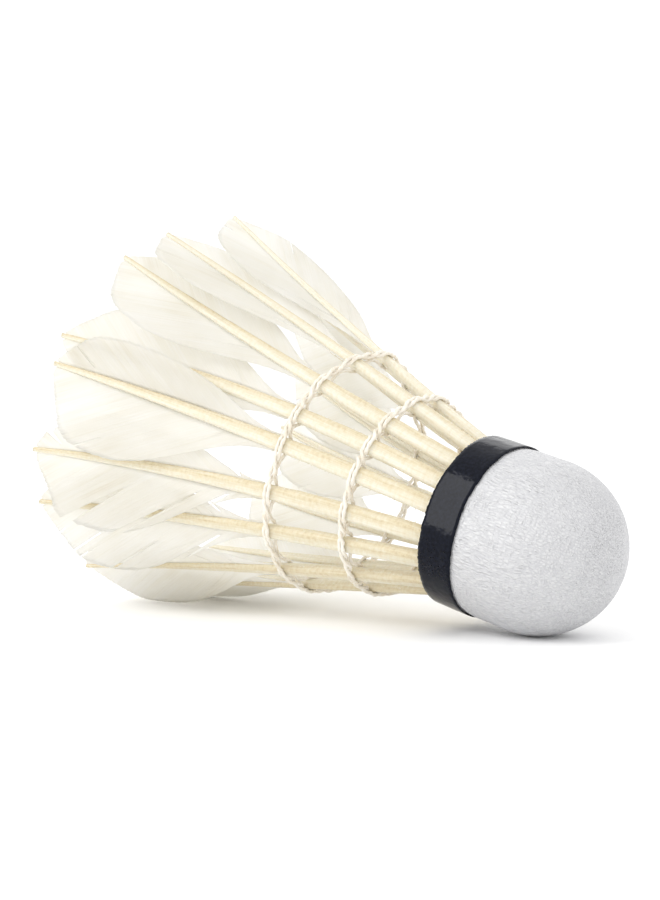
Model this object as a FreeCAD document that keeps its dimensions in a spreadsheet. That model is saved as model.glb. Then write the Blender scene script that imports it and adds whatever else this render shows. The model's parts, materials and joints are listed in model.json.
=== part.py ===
"""Feather shuttlecock: a cork head in a leather cover with a dark band, sixteen feathers set in the cork,
and two rows of thread that tie the feather shafts together.

Every piece is first made about the shuttlecock's own axis, with the tip of the nose at the origin and the
feathers pointing up +Z. The whole assembly then lies down as it does on a table, on the side of its head
and the corners of two feathers. In that frame +Z is up, the nose points along +X, and the origin is on the
table under the middle of the part. Millimetres and degrees.
"""

import FreeCAD
import Part

import math
import os

from FreeCAD import Placement, Rotation, Vector

Y_AXIS = Vector(0, 1, 0)
Z_AXIS = Vector(0, 0, 1)
FEATHERS = 16
STEP_ANGLE = 360.0 / FEATHERS

# Driving dimensions: alias, value.
DIMENSIONS = [
    ("headRadius", 13.0),
    ("headHeight", 24.6),
    ("noseHeight", 13.0),
    ("skinThickness", 0.4),
    ("bandWidth", 5.6),
    ("bandThickness", 0.2),
    ("bandLip", 0.3),
    ("rootCircle", 10.7),
    ("rimCircle", 30.7),
    ("shaftLength", 66.6),
    ("socketDepth", 8.0),
    ("socketRadius", 1.4),
    ("rootWidth", 2.5),
    ("shaftWidth", 2.65),
    ("shaftThickness", 2.0),
    ("tipWidth", 1.0),
    ("tipThickness", 0.9),
    ("webStart", 26.6),
    ("webGap", 0.06),
    ("webThickness", 0.25),
    ("innerRow", 12.4),
    ("outerRow", 24.2),
    ("strandDiameter", 0.5),
    ("strandGap", 0.05),
    ("glueWidth", 3.4),
    ("glueHeight", 0.6),
    ("glueHole", 1.5),
    ("firstAngle", 11.7),
    ("restTilt", 15.33),
]

# How each feather differs from an even one, as on a hand-made part: the turn of its socket about the axis,
# the sideways lean and bend of its shaft, how far its tip flares out, how far its wide and narrow webs lift
# outwards, and how wide they are. As a rule a wide web lies over the next feather's narrow web. The first
# and the fifth feather lie over both of their neighbours instead.
FEATHER_COLUMNS = ("shift", "lean", "bend", "flare", "wideLift", "narrowLift", "wideSpan", "narrowSpan")
FEATHER_ROWS = [
    (1.0, 0.3, 1.5, 3.4, -16.0, 14.0, 9.0, 8.5),
    (1.2, -0.1, 3.2, 0.0, 8.0, -8.0, 10.5, 9.0),
    (2.5, 3.4, -3.4, 0.0, 8.0, -14.0, 9.6, 8.2),
    (0.9, -2.1, 7.6, -1.0, -36.0, -10.0, 7.5, 8.2),
    (-2.3, -3.0, 2.9, -1.7, 8.0, 16.0, 11.0, 6.4),
    (-2.0, -4.0, 6.1, -0.4, 8.0, -12.0, 10.8, 6.2),
    (-3.2, -4.4, 4.5, 0.0, 8.0, -16.0, 10.5, 6.0),
    (-0.6, -3.8, 8.6, -0.6, 8.0, -10.0, 10.0, 6.5),
    (-0.8, -1.0, 4.6, 0.0, 8.0, -16.0, 10.0, 7.0),
    (0.5, -2.0, 2.0, 1.0, 8.0, -18.0, 10.0, 6.6),
    (-1.0, -2.5, 2.5, 0.4, 8.0, -12.0, 10.4, 7.0),
    (1.5, -3.0, 3.5, 0.0, 8.0, -12.0, 9.8, 6.6),
    (0.0, -1.0, 3.5, -0.3, 8.0, -12.0, 10.0, 7.4),
    (-1.5, -2.0, 4.0, 0.6, 8.0, -17.0, 10.2, 7.0),
    (1.0, -3.0, 4.0, 0.0, 8.0, -12.0, 9.8, 7.2),
    (-0.5, -1.5, 3.0, 0.0, -10.0, -12.0, 9.6, 7.0),
]

# A web's outline, as shares of the way from its start to the shaft's tip and of its full width: the points
# of its outer edge, the corner of the cut across its end, and the point where the cut meets the shaft.
WEB_OUTLINES = {
    "wide": ([(0.0, 0.03), (0.13, 0.12), (0.29, 0.42), (0.46, 0.78), (0.70, 1.0)], (0.865, 0.88), (0.995, 0.1)),
    "narrow": ([(0.0, 0.03), (0.12, 0.16), (0.25, 0.5), (0.42, 0.82), (0.70, 1.0)], (0.865, 0.88), (0.995, 0.1)),
}

# Heights of a shaft's sections, as shares of its length beyond the cork.
SHAFT_STATIONS = (0.04, 0.15, 0.27, 0.4, 0.5, 0.6, 0.7, 0.8, 0.9, 1.0)

# How much of a straight run a rounded corner takes up, and how far its curve first follows the web's side.
CORNER_SHARE = 0.45
CORNER_PULL = 0.9

# How far the drills that cut the sockets stand out of the cork, in millimetres.
DRILL_OVERRUN = 3.0

# The strands of a thread row: name, side of the shafts, and place along the axis in strand diameters.
STRANDS = [("front_thread", 1, -0.55), ("rear_thread", 1, 0.55), ("inside_thread", -1, 0.0)]
# A strand's bend round a shaft: how far it stands off and how wide it is, as shares of the shaft's section.
STRAND_BULGE = 1.06
STRAND_SPREAD = 0.72


# --- The document and its sheet -------------------------------------------------------------------

def number(index):
    return f"{index + 1:02d}"


def make_sheet(doc):
    """The spreadsheet that holds every driving dimension, one alias to a row."""
    sheet = doc.addObject("Spreadsheet::Sheet", "dims")
    cells = list(DIMENSIONS)
    for index, row in enumerate(FEATHER_ROWS):
        for column, value in zip(FEATHER_COLUMNS, row):
            cells.append((f"{column}Of{number(index)}", value))
    for line, (alias, value) in enumerate(cells, start=1):
        sheet.set(f"A{line}", alias)
        sheet.set(f"B{line}", str(value))
        sheet.setAlias(f"B{line}", alias)
    doc.recompute()
    return sheet


def value_of(sheet, alias):
    return float(sheet.get(alias))


def feather_value(sheet, column, index):
    return value_of(sheet, f"{column}Of{number(index)}")


def bind(item, **expressions):
    """Binds properties of a document object to expressions of the sheet's cells."""
    for name, expression in expressions.items():
        item.setExpression(name.replace("__", "."), expression)


def origin_plane(body, role):
    return next(item for item in body.Origin.OriginFeatures if item.Role == role)


def sketch_on(body, name, role):
    sketch = body.newObject("Sketcher::SketchObject", name)
    sketch.AttachmentSupport = (origin_plane(body, role), [""])
    sketch.MapMode = "FlatFace"
    return sketch


# --- Places ---------------------------------------------------------------------------------------

def lie_down(sheet):
    """Turns the upright shuttlecock onto its side, with the nose towards +X."""
    return Placement(Vector(), Rotation(Y_AXIS, value_of(sheet, "restTilt") - 90.0))


def shaft_angle(sheet):
    """How far a feather's shaft leans out from the axis."""
    reach = value_of(sheet, "rimCircle") - value_of(sheet, "rootCircle")
    return math.degrees(math.asin(reach / value_of(sheet, "shaftLength")))


def feather_place(sheet, index):
    """A feather's frame on the upright shuttlecock: its origin is where the shaft leaves the cork, with Z
    along the shaft and X outwards."""
    turn = value_of(sheet, "firstAngle") - STEP_ANGLE * index - feather_value(sheet, "shift", index)
    around = Placement(Vector(), Rotation(Z_AXIS, turn))
    root = Vector(value_of(sheet, "rootCircle"), 0, value_of(sheet, "headHeight"))
    return around * Placement(root, Rotation(Y_AXIS, shaft_angle(sheet)))


def web_place(sheet, index, lift):
    """A web's frame on its feather: Z runs from the shaft where the web starts to the shaft's tip, and the
    web is turned about that line."""
    first = spine_point(sheet, index, web_start(sheet))
    last = spine_point(sheet, index, 1.0)
    return Placement(first, Rotation(Z_AXIS, last - first)) * Placement(Vector(), Rotation(Z_AXIS, lift))


def spine_point(sheet, index, share):
    """A point of a feather's centre line in its own frame, at a share of the shaft's length."""
    lean = feather_value(sheet, "lean", index)
    bend = feather_value(sheet, "bend", index)
    flare = feather_value(sheet, "flare", index)
    length = value_of(sheet, "shaftLength")
    return Vector(flare * share**2, -(lean * share + bend * share**2), length * share)


def web_start(sheet):
    return value_of(sheet, "webStart") / value_of(sheet, "shaftLength")


def half_width(sheet, share):
    """Half the shaft's width beyond the cork: it narrows slowly at first, then faster."""
    wide = value_of(sheet, "shaftWidth")
    return (wide - (wide - value_of(sheet, "tipWidth")) * share**2) / 2


def half_thickness(sheet, share):
    thick = value_of(sheet, "shaftThickness")
    return (thick - (thick - value_of(sheet, "tipThickness")) * share) / 2


# --- The head -------------------------------------------------------------------------------------

def revolved_body(doc, label, edges):
    """A body turned about Z from a closed outline on the XZ plane."""
    body = doc.addObject("PartDesign::Body", label)
    sketch = sketch_on(body, label + "_outline", "XZ_Plane")
    for edge in edges:
        sketch.addGeometry(edge, False)
    turned = body.newObject("PartDesign::Revolution", label + "_turned")
    turned.Profile = sketch
    turned.ReferenceAxis = (sketch, ["V_Axis"])
    turned.Angle = 360.0
    body.Tip = turned
    return body


def line(start, end):
    return Part.LineSegment(Vector(*start, 0), Vector(*end, 0))


def quarter_arc(centre_height, radius):
    """From the bottom of a circle on the axis round to its side."""
    circle = Part.Circle(Vector(0, centre_height, 0), Z_AXIS, radius)
    return Part.ArcOfCircle(circle, -math.pi / 2, 0.0)


def make_cork_nose(doc, sheet):
    """The domed front half of the cork, up to where the dome turns into the head's straight side."""
    radius = value_of(sheet, "headRadius") - value_of(sheet, "skinThickness")
    middle = value_of(sheet, "noseHeight")
    edges = [
        quarter_arc(middle, radius),
        line((radius, middle), (0, middle)),
        line((0, middle), (0, middle - radius)),
    ]
    return revolved_body(doc, "cork_nose", edges)


def make_leather_cover(doc, sheet):
    """The white skin: a cup of even thickness over the dome and up the side to the cork's rear face."""
    outer = value_of(sheet, "headRadius")
    inner = outer - value_of(sheet, "skinThickness")
    middle = value_of(sheet, "noseHeight")
    top = value_of(sheet, "headHeight")
    edges = [
        quarter_arc(middle, outer),
        line((outer, middle), (outer, top)),
        line((outer, top), (inner, top)),
        line((inner, top), (inner, middle)),
        quarter_arc(middle, inner),
        line((0, middle - inner), (0, middle - outer)),
    ]
    return revolved_body(doc, "leather_cover", edges)


def make_band(doc):
    """The dark tape round the head's rear edge."""
    solids = []
    for name, radius in (("band_outside", "headRadius + dims.bandThickness"), ("band_inside", "headRadius")):
        solid = doc.addObject("Part::Cylinder", name)
        bind(solid, Radius=f"dims.{radius}", Height="dims.bandWidth + dims.bandLip")
        bind(solid, Placement__Base__z="dims.headHeight - dims.bandWidth")
        solids.append(solid)
    band = doc.addObject("Part::Cut", "head_band")
    band.Base, band.Tool = solids
    return band


def make_drills(doc, sheet, label, radius, depth):
    """Sixteen round bars along the feathers' roots, to cut their holes with."""
    drills = []
    for index in range(FEATHERS):
        drill = doc.addObject("Part::Cylinder", f"{label}_{number(index)}")
        bind(drill, Radius=radius, Height=f"{depth} + {DRILL_OVERRUN}")
        down = Placement(Vector(0, 0, -value_of(sheet, "socketDepth")), Rotation())
        drill.Placement = feather_place(sheet, index) * down
        drills.append(drill)
    bundle = doc.addObject("Part::MultiFuse", label)
    bundle.Shapes = drills
    return bundle


def make_cork_plug(doc, sheet):
    """The rear half of the cork, with a drilled socket for each feather."""
    blank = doc.addObject("Part::Cylinder", "plug_blank")
    bind(blank, Radius="dims.headRadius - dims.skinThickness")
    bind(blank, Height="dims.headHeight - dims.noseHeight", Placement__Base__z="dims.noseHeight")
    plug = doc.addObject("Part::Cut", "cork_plug")
    plug.Base = blank
    plug.Tool = make_drills(doc, sheet, "socket_drills", "dims.socketRadius", "dims.socketDepth")
    return plug


def make_root_glue(doc, sheet):
    """The ring of glue on the cork's rear face, with a hole round each shaft."""
    solids = []
    for name, sign in (("glue_outside", "+"), ("glue_inside", "-")):
        solid = doc.addObject("Part::Cylinder", name)
        bind(solid, Radius=f"dims.rootCircle {sign} dims.glueWidth / 2", Height="dims.glueHeight")
        bind(solid, Placement__Base__z="dims.headHeight")
        solids.append(solid)
    ring = doc.addObject("Part::Cut", "glue_ring")
    ring.Base, ring.Tool = solids
    glue = doc.addObject("Part::Cut", "root_glue")
    glue.Base = ring
    glue.Tool = make_drills(doc, sheet, "glue_drills", "dims.glueHole", "dims.socketDepth")
    return glue


# --- The feathers ---------------------------------------------------------------------------------

def make_section(doc, name, centre, width, thickness):
    """An ellipse across a shaft, its long axis across the feather."""
    ellipse = doc.addObject("Part::Ellipse", name)
    bind(ellipse, MajorRadius=width, MinorRadius=thickness)
    ellipse.Placement = Placement(centre, Rotation(Z_AXIS, 90))
    return ellipse


def make_quill(doc, sheet, index):
    """One shaft, from the foot of its socket to its tip, lofted through ellipses that follow its bend."""
    label = f"quill_{number(index)}"
    sections = []
    for place, height in enumerate((-value_of(sheet, "socketDepth"), 0.0)):
        name = f"{label}_root_{place}"
        centre = Vector(0, 0, height)
        sections.append(make_section(doc, name, centre, "dims.rootWidth / 2", "dims.rootWidth / 2 - 0.05"))
    for place, share in enumerate(SHAFT_STATIONS):
        name = f"{label}_section_{place}"
        centre = spine_point(sheet, index, share)
        width = f"(dims.shaftWidth - (dims.shaftWidth - dims.tipWidth) * {share} ^ 2) / 2"
        thickness = f"(dims.shaftThickness - (dims.shaftThickness - dims.tipThickness) * {share}) / 2"
        sections.append(make_section(doc, name, centre, width, thickness))
    quill = doc.addObject("Part::Loft", label)
    quill.Sections = sections
    quill.Solid = True
    quill.Ruled = True
    return quill


def smooth_curve(points):
    curve = Part.BSplineCurve()
    curve.interpolate([Vector(*point, 0) for point in points])
    return curve


def padded_body(doc, name, role, edges, depth):
    """A closed outline on one of a body's own planes, padded half of its depth to each side."""
    body = doc.addObject("PartDesign::Body", name)
    sketch = sketch_on(body, name + "_sketch", role)
    for edge in edges:
        sketch.addGeometry(edge, False)
    pad = body.newObject("PartDesign::Pad", name + "_pad")
    pad.Profile = sketch
    pad.SideType = "Symmetric"
    pad.setExpression("Length", depth)
    body.Tip = pad
    return body


def make_web(doc, sheet, index, label, side):
    """One web of a feather: a thin strip that follows the shaft's flare, kept only inside the web's
    outline. side is -1 for the wide web and 1 for the narrow one."""
    name = f"{label}_web_{number(index)}"
    lift = -side * feather_value(sheet, f"{label}Lift", index)
    to_web = web_place(sheet, index, lift).inverse()
    start = web_start(sheet)
    full_width = feather_value(sheet, f"{label}Span", index)
    gap = value_of(sheet, "webGap")
    stations, cut_corner, cut_end = WEB_OUTLINES[label]

    def shaft_side(part):
        share = start + (1.0 - start) * part
        spine = to_web.multVec(spine_point(sheet, index, share))
        return spine.y + side * (half_width(sheet, share) + gap), spine.z

    def web_edge(part, width):
        across, along = shaft_side(part)
        return across + side * width * full_width, along

    inside = [shaft_side(part) for part in (0.0, 0.25, 0.5, 0.75, cut_end[0])]
    outside = [web_edge(part, width) for part, width in stations]
    corner = web_edge(*cut_corner)
    end = web_edge(*cut_end)
    edge = smooth_curve(outside)
    edges = [smooth_curve(inside), line(inside[0], outside[0]), edge]
    edges += round_corner(outside[-1], edge.tangent(edge.LastParameter)[0], corner, end)
    edges.append(line(end, inside[-1]))
    outline = padded_body(doc, name + "_outline", "YZ_Plane", edges, "8 * dims.shaftThickness")
    strip_edges = edge_on_outline(sheet, index, to_web)
    depth = f"5 * dims.{label}SpanOf{number(index)}"
    strip = padded_body(doc, name + "_strip", "XZ_Plane", strip_edges, depth)
    web = doc.addObject("Part::Common", name)
    web.Base = strip
    web.Tool = outline
    return web, web_place(sheet, index, lift)


def edge_on_outline(sheet, index, to_web):
    """The web seen on edge, in its own frame: two parabolas that follow the shaft's flare, one thickness
    of the web apart. A parabola is a curve with three poles."""
    half = value_of(sheet, "webThickness") / 2
    start = web_start(sheet)
    first, middle, last = (
        to_web.multVec(spine_point(sheet, index, share)) for share in (start, (1.0 + start) / 2, 1.0)
    )
    overrun = 1.0
    pole = middle * 2 - (first + last) * 0.5
    edges = []
    for offset in (-half, half):
        curve = Part.BezierCurve()
        curve.setPoles([Vector(p.x + offset, p.z, 0) for p in (first, pole, last)])
        edges.append(curve.toBSpline())
    for point, beyond in ((first, -overrun), (last, overrun)):
        left, right, level = point.x - half, point.x + half, point.z + beyond
        edges.append(line((left, point.z), (left, level)))
        edges.append(line((left, level), (right, level)))
        edges.append(line((right, level), (right, point.z)))
    return edges


def round_corner(start, direction, corner, end):
    """The rounded corner from the web's side into the cut across its end, then the straight cut."""
    meet = Vector(corner[0], corner[1], 0)
    leave = meet + (Vector(end[0], end[1], 0) - meet) * CORNER_SHARE
    begin = Vector(start[0], start[1], 0)
    reach = (meet - begin).Length
    curve = Part.BezierCurve()
    curve.setPoles([begin, begin + Vector(direction) * reach * CORNER_PULL, meet, leave])
    return [curve.toBSpline(), Part.LineSegment(leave, Vector(end[0], end[1], 0))]


# --- The threads ----------------------------------------------------------------------------------

def shaft_crossing(sheet, index, height):
    """Where a shaft's centre line crosses a level above the cork's rear face, on the upright part."""
    target = value_of(sheet, "headHeight") + height
    share = height / value_of(sheet, "shaftLength")
    for _ in range(6):
        point = feather_place(sheet, index).multVec(spine_point(sheet, index, share))
        share += (target - point.z) / value_of(sheet, "shaftLength")
    return point, share


def rounded_loop(points):
    """A closed wire of straight runs joined by tangent arcs, each as large as its two runs allow."""
    count = len(points)
    edges = []
    cuts = []
    for here in range(count):
        before, corner, after = points[here - 1], points[here], points[(here + 1) % count]
        inward, outward = before - corner, after - corner
        trim = CORNER_SHARE * min(inward.Length, outward.Length)
        start = corner + inward.normalize() * trim
        end = corner + outward.normalize() * trim
        middle_way = (start + end) * 0.5
        half_turn = (math.pi - inward.getAngle(outward)) / 2
        radius = trim / math.tan(half_turn)
        bulge = radius / math.cos(half_turn) - radius
        middle = corner + (middle_way - corner).normalize() * bulge
        cuts.append((start, middle, end))
    for here in range(count):
        start, middle, end = cuts[here]
        edges.append(Part.Arc(start, middle, end).toShape())
        following = cuts[(here + 1) % count][0]
        edges.append(Part.LineSegment(end, following).toShape())
    return Part.Wire(edges)


def make_strand(doc, sheet, label, row_alias, side, level):
    """One strand of a thread row: a closed loop that passes every shaft on one side (1 outside, -1 inside)
    and meets the row's other strands half way between two shafts. level is the strand's place along the
    axis, in strand diameters from the middle of the row."""
    radius = value_of(sheet, "strandDiameter") / 2
    gap = value_of(sheet, "strandGap")
    height = value_of(sheet, row_alias) + level * (2 * radius + gap)
    points = []
    for index in range(FEATHERS):
        here, share = shaft_crossing(sheet, index, height)
        there, _ = shaft_crossing(sheet, (index + 1) % FEATHERS, height)
        outwards = Vector(here.x, here.y, 0).normalize()
        across = Z_AXIS.cross(outwards)
        stand_off = half_thickness(sheet, share) * STRAND_BULGE + radius + gap
        spread = half_width(sheet, share) * STRAND_SPREAD
        for sideways in (spread, -spread):
            points.append(here + outwards * side * stand_off + across * sideways)
        middle = (here + there) * 0.5
        level_out = Vector(middle.x, middle.y, 0).normalize()
        points.append(middle + level_out * side * (radius + gap / 2))
    path = rounded_loop(points)
    first = path.Edges[0]
    start = first.valueAt(first.FirstParameter)
    ring = Part.Wire(Part.makeCircle(radius, start, first.tangentAt(first.FirstParameter)))
    strand = doc.addObject("Part::Feature", label)
    strand.Shape = path.makePipeShell([ring], True, False)
    return strand


# --- The assembly ---------------------------------------------------------------------------------

def make_parts(doc, sheet):
    """Every sub-part with its place on the upright shuttlecock, by label."""
    upright = Placement()
    parts = {
        "cork_nose": (make_cork_nose(doc, sheet), upright),
        "cork_plug": (make_cork_plug(doc, sheet), upright),
        "leather_cover": (make_leather_cover(doc, sheet), upright),
        "head_band": (make_band(doc), upright),
        "root_glue": (make_root_glue(doc, sheet), upright),
    }
    for index in range(FEATHERS):
        place = feather_place(sheet, index)
        quill = make_quill(doc, sheet, index)
        parts[quill.Label] = (quill, place)
        for label, side in (("wide", -1), ("narrow", 1)):
            web, own_place = make_web(doc, sheet, index, label, side)
            parts[web.Label] = (web, place * own_place)
    for row, alias in (("inner_row", "innerRow"), ("outer_row", "outerRow")):
        for strand, side, level in STRANDS:
            label = f"{row}_{strand}"
            parts[label] = (make_strand(doc, sheet, label, alias, side, level), upright)
    return parts


def check(doc, parts):
    """Stops if any object failed to recompute or any sub-part isn't made of one valid closed solid."""
    for item in doc.Objects:
        if "Invalid" in item.State or "Error" in item.State:
            raise RuntimeError(f"{item.Label} failed to recompute: {item.State}")
    for label, (item, _) in parts.items():
        shape = item.Shape
        if shape.isNull() or not shape.isValid() or len(shape.Solids) != 1 or shape.Volume <= 0:
            raise RuntimeError(f"{label} isn't one valid solid")


def put_in_place(doc, parts, frame):
    for item, place in parts.values():
        item.Placement = frame * place
    doc.recompute()


def lay_on_table(doc, sheet, parts):
    """Lays the shuttlecock on its side, then moves it so that the table is Z = 0 and the origin is on the
    table under the middle of the part."""
    tilted = lie_down(sheet)
    put_in_place(doc, parts, tilted)
    box = Part.makeCompound([item.Shape for item, _ in parts.values()]).optimalBoundingBox(False)
    moved = Placement(Vector(-box.Center.x, -box.Center.y, -box.ZMin), Rotation())
    put_in_place(doc, parts, moved * tilted)
    return moved.Base


def main():
    doc = FreeCAD.newDocument("shuttlecock")
    sheet = make_sheet(doc)
    parts = make_parts(doc, sheet)
    doc.recompute()
    check(doc, parts)
    moved = lay_on_table(doc, sheet, parts)
    check(doc, parts)
    os.makedirs("parts", exist_ok=True)
    for label, (item, _) in parts.items():
        item.Shape.exportStep(f"parts/{label}.step")
    print(f"{len(parts)} sub-parts, moved by {tuple(round(v, 4) for v in moved)} after tilting")


main()
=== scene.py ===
"""Looks of the feather shuttlecock: barbed webs, ribbed shafts, twisted threads, leather, tape and cork.

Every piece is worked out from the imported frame. The mesh code uses the shuttlecock's own axes, in
millimetres: x towards the upper side, y across, z along the axis from the tip of the nose to the feathers.
"""

import json
import math
import random

import bmesh
import bpy
import numpy as np
from mathutils import Euler, Matrix, Vector, noise


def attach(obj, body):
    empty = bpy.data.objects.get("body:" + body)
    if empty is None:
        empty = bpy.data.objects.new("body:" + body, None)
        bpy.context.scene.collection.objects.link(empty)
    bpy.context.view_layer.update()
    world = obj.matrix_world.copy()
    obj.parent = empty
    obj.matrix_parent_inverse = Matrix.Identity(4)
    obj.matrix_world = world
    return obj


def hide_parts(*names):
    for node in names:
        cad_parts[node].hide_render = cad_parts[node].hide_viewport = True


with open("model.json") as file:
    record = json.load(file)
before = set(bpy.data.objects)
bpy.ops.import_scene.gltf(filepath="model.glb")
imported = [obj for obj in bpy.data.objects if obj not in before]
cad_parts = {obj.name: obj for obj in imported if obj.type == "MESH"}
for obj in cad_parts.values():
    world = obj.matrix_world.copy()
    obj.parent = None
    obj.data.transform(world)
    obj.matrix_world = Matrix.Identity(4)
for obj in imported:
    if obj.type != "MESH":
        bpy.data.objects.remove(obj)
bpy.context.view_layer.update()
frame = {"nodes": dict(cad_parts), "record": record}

MM = 0.001
FEATHERS = 16
RECORD = frame["record"]

# Camera, in millimetres and degrees.
CAMERA_TARGET = (-2.9, -2.5, 26.3)
CAMERA_DISTANCE = 251.8
CAMERA_AZIMUTH = 38.25
CAMERA_ELEVATION = 1.5
CAMERA_LENS = 64.0
CAMERA_SENSOR = 36.0

# Room, in metres.
WORLD_STRENGTH = 1.14
FLOOR_HALF_SIDE = 6.0
LIGHT_TARGET = (0.0, 0.0, 0.03)

# The name of the map that holds each point's place across and along its barb, shaft or thread.
UV_NAME = "barbs"

# The shafts, in millimetres. From SLIM_FROM behind the cork their width shrinks towards the tip.
SHAFT_LEVELS = 26
SHAFT_STATIONS = 90
SHAFT_LUMPS = 0.05
SLIM_FROM = 20
TIP_SLIMMING = 0.22
STUBS_START = 1.6
STUBS_OVERLAP = 2.0
STUB_SINK = 0.06
STUB_LENGTHS = (0.1, 0.14, 0.2, 0.3)

# A shaft's section, outside first: share of half width, share of half thickness.
SHAFT_SECTION = [
    (0.0, 0.93), (0.3, 1.0), (0.62, 0.95), (0.88, 0.68), (1.0, 0.22), (0.98, -0.2), (0.84, -0.62),
    (0.55, -0.93), (0.24, -1.0), (0.1, -0.72), (0.0, -0.66),
]

# The feathers' webs, in millimetres.
WEB_LEVELS = 60
BARB_STEP = 0.3
BARB_SLOPE = 1.3
BARB_COLUMNS = 12
BARB_RIPPLE = 0.035
SHORTEST_BARB = 0.12
LONGEST_BARB = 14.0
SEARCH_STEP = 0.05
ROOT_STEPS = 8
WEB_THICKNESS = 0.09
WEB_CAMBER = 0.14
WEB_SWAY = 0.05
WEB_TUCK = 0.08

# Barbs that have sprung loose.
SHORTEST_HAIR = 1.2
LONGEST_HAIR = 6.0
HAIR_RADIUS = 0.06
HAIR_STEPS = 12
HAIR_SIDES = 4

# Tears in the webs: share along the web, share of the barb where the tear starts, its width in millimetres.
# A tear pushes apart the barbs that lie within TEAR_ROWS of it, and further off if it is wide.
TEAR_ROWS = 8
TEAR_ROWS_PER_WIDTH = 12
TEARS = {
    "narrow_05": [(0.8, 0.2, 0.07)],
    "narrow_06": [(0.86, 0.3, 0.7), (0.1, 0.2, 0.6)],
    "wide_06": [(0.47, 0.3, 1.5), (0.22, 0.15, 0.6), (0.13, 0.1, 0.5)],
    "wide_07": [(0.16, 0.15, 0.6), (0.34, 0.4, 0.3), (0.6, 0.5, 0.25)],
    "narrow_07": [(0.15, 0.3, 0.5)],
}

# The threads, in millimetres.
PLY_RADIUS = 0.24
PLY_OFFSET = 0.07
PLY_PITCH = 2.4
STRAND_RADIUS = PLY_RADIUS + PLY_OFFSET
PLY_SIDES = 7
STRAND_STEP = 0.16
PAIR_SPACING = 1.04
CURVE_SAMPLES = 12
STRAND_NAMES = ("front_thread", "rear_thread", "inside_thread")
ROW_HEIGHTS = {"inner_row": 12.4, "outer_row": 24.2}

# A strand's points over a shaft, as shares of its half width and of the strand's lift, and then between
# two shafts, as shares of the way. There it moves inwards by its sag, or outwards where that is negative.
OVER_SHAFT = ((0.9, 0.86), (0.45, 0.98), (0.0, 1.02), (-0.45, 0.98), (-0.9, 0.86))
BETWEEN_SHAFTS = (0.25, 0.5, 0.75)
OUTSIDE_SAG = 0.1
INSIDE_SAG = -1.1

# The head, in millimetres.
HEAD_SEGMENTS = 288
LEATHER_THICKNESS = 0.35
DENT_SCALE = 0.16
DENT_DEPTH = 0.07
ROUND_FOLDS = 0.035
LENGTH_FOLDS = 0.03
TUCK_DEPTH = 0.16
TUCK_WIDTH = 0.5
TAPE_OVERLAP = math.radians(38)
TAPE_STEP = 0.05
TAPE_BEVEL = 0.07

# A glue bead's profile: share of the shaft's half sizes, height above the cork.
GLUE_SEGMENTS = 22
GLUE_PROFILE = [(0.98, 0.02), (1.5, 0.03), (1.62, 0.16), (1.45, 0.42), (1.2, 0.75), (1.02, 1.0)]


# --- The shuttlecock's own axes -------------------------------------------------------------------

def mount(name):
    """One of the part's mounts, by name."""
    return next(item for item in RECORD["mounts"] if item["name"] == name)


def node_mesh(node):
    """A CAD node's vertices in the row frame, in millimetres, and its edges."""
    item = frame["nodes"][node]
    mesh = item.data
    points = np.empty(len(mesh.vertices) * 3)
    mesh.vertices.foreach_get("co", points)
    edges = np.empty(len(mesh.edges) * 2, dtype=int)
    mesh.edges.foreach_get("vertices", edges)
    world = np.array(item.matrix_world)
    points = points.reshape(-1, 3) @ world[:3, :3].T + world[:3, 3]
    return points / MM, edges.reshape(-1, 2)


def own_axes():
    """The matrix from the shuttlecock's own axes, in millimetres, to the row frame, in metres."""
    grip = mount("head_band_grip")
    back = -Vector(grip["axis"]).normalized()
    up = (Vector((0, 0, 1)) - back * back.z).normalized()
    across = back.cross(up)
    centre = Vector(grip["pos_m"]) / MM
    points, _ = node_mesh("leather_cover")
    nose = centre + back * min((points - np.array(centre)) @ np.array(back))
    turn = Matrix((up, across, back)).transposed().to_4x4()
    return Matrix.Scale(MM, 4) @ Matrix.Translation(nose) @ turn


OWN = own_axes()
TO_OWN = np.array((Matrix.Scale(MM, 4).inverted() @ OWN).inverted())


def own_mesh(node):
    """A CAD node's vertices in the shuttlecock's own axes, in millimetres, and its edges."""
    points, edges = node_mesh(node)
    return points @ TO_OWN[:3, :3].T + TO_OWN[:3, 3], edges


def cut_points(points, edges, level):
    """The points where a mesh's edges cross a level along the axis."""
    low, high = points[edges[:, 0]], points[edges[:, 1]]
    below = low[:, 2] - level
    above = high[:, 2] - level
    crossing = below * above < 0
    share = (below[crossing] / (below[crossing] - above[crossing]))[:, None]
    return low[crossing] + (high[crossing] - low[crossing]) * share


def reach(node):
    """Lowest and highest z and the largest radius of a CAD node."""
    points, _ = own_mesh(node)
    return points[:, 2].min(), points[:, 2].max(), np.hypot(points[:, 0], points[:, 1]).max()


_, CORK_BACK, HEAD_RADIUS = reach("leather_cover")
BAND_FRONT, BAND_BACK, BAND_RADIUS = reach("head_band")


# --- Making pieces --------------------------------------------------------------------------------

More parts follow.
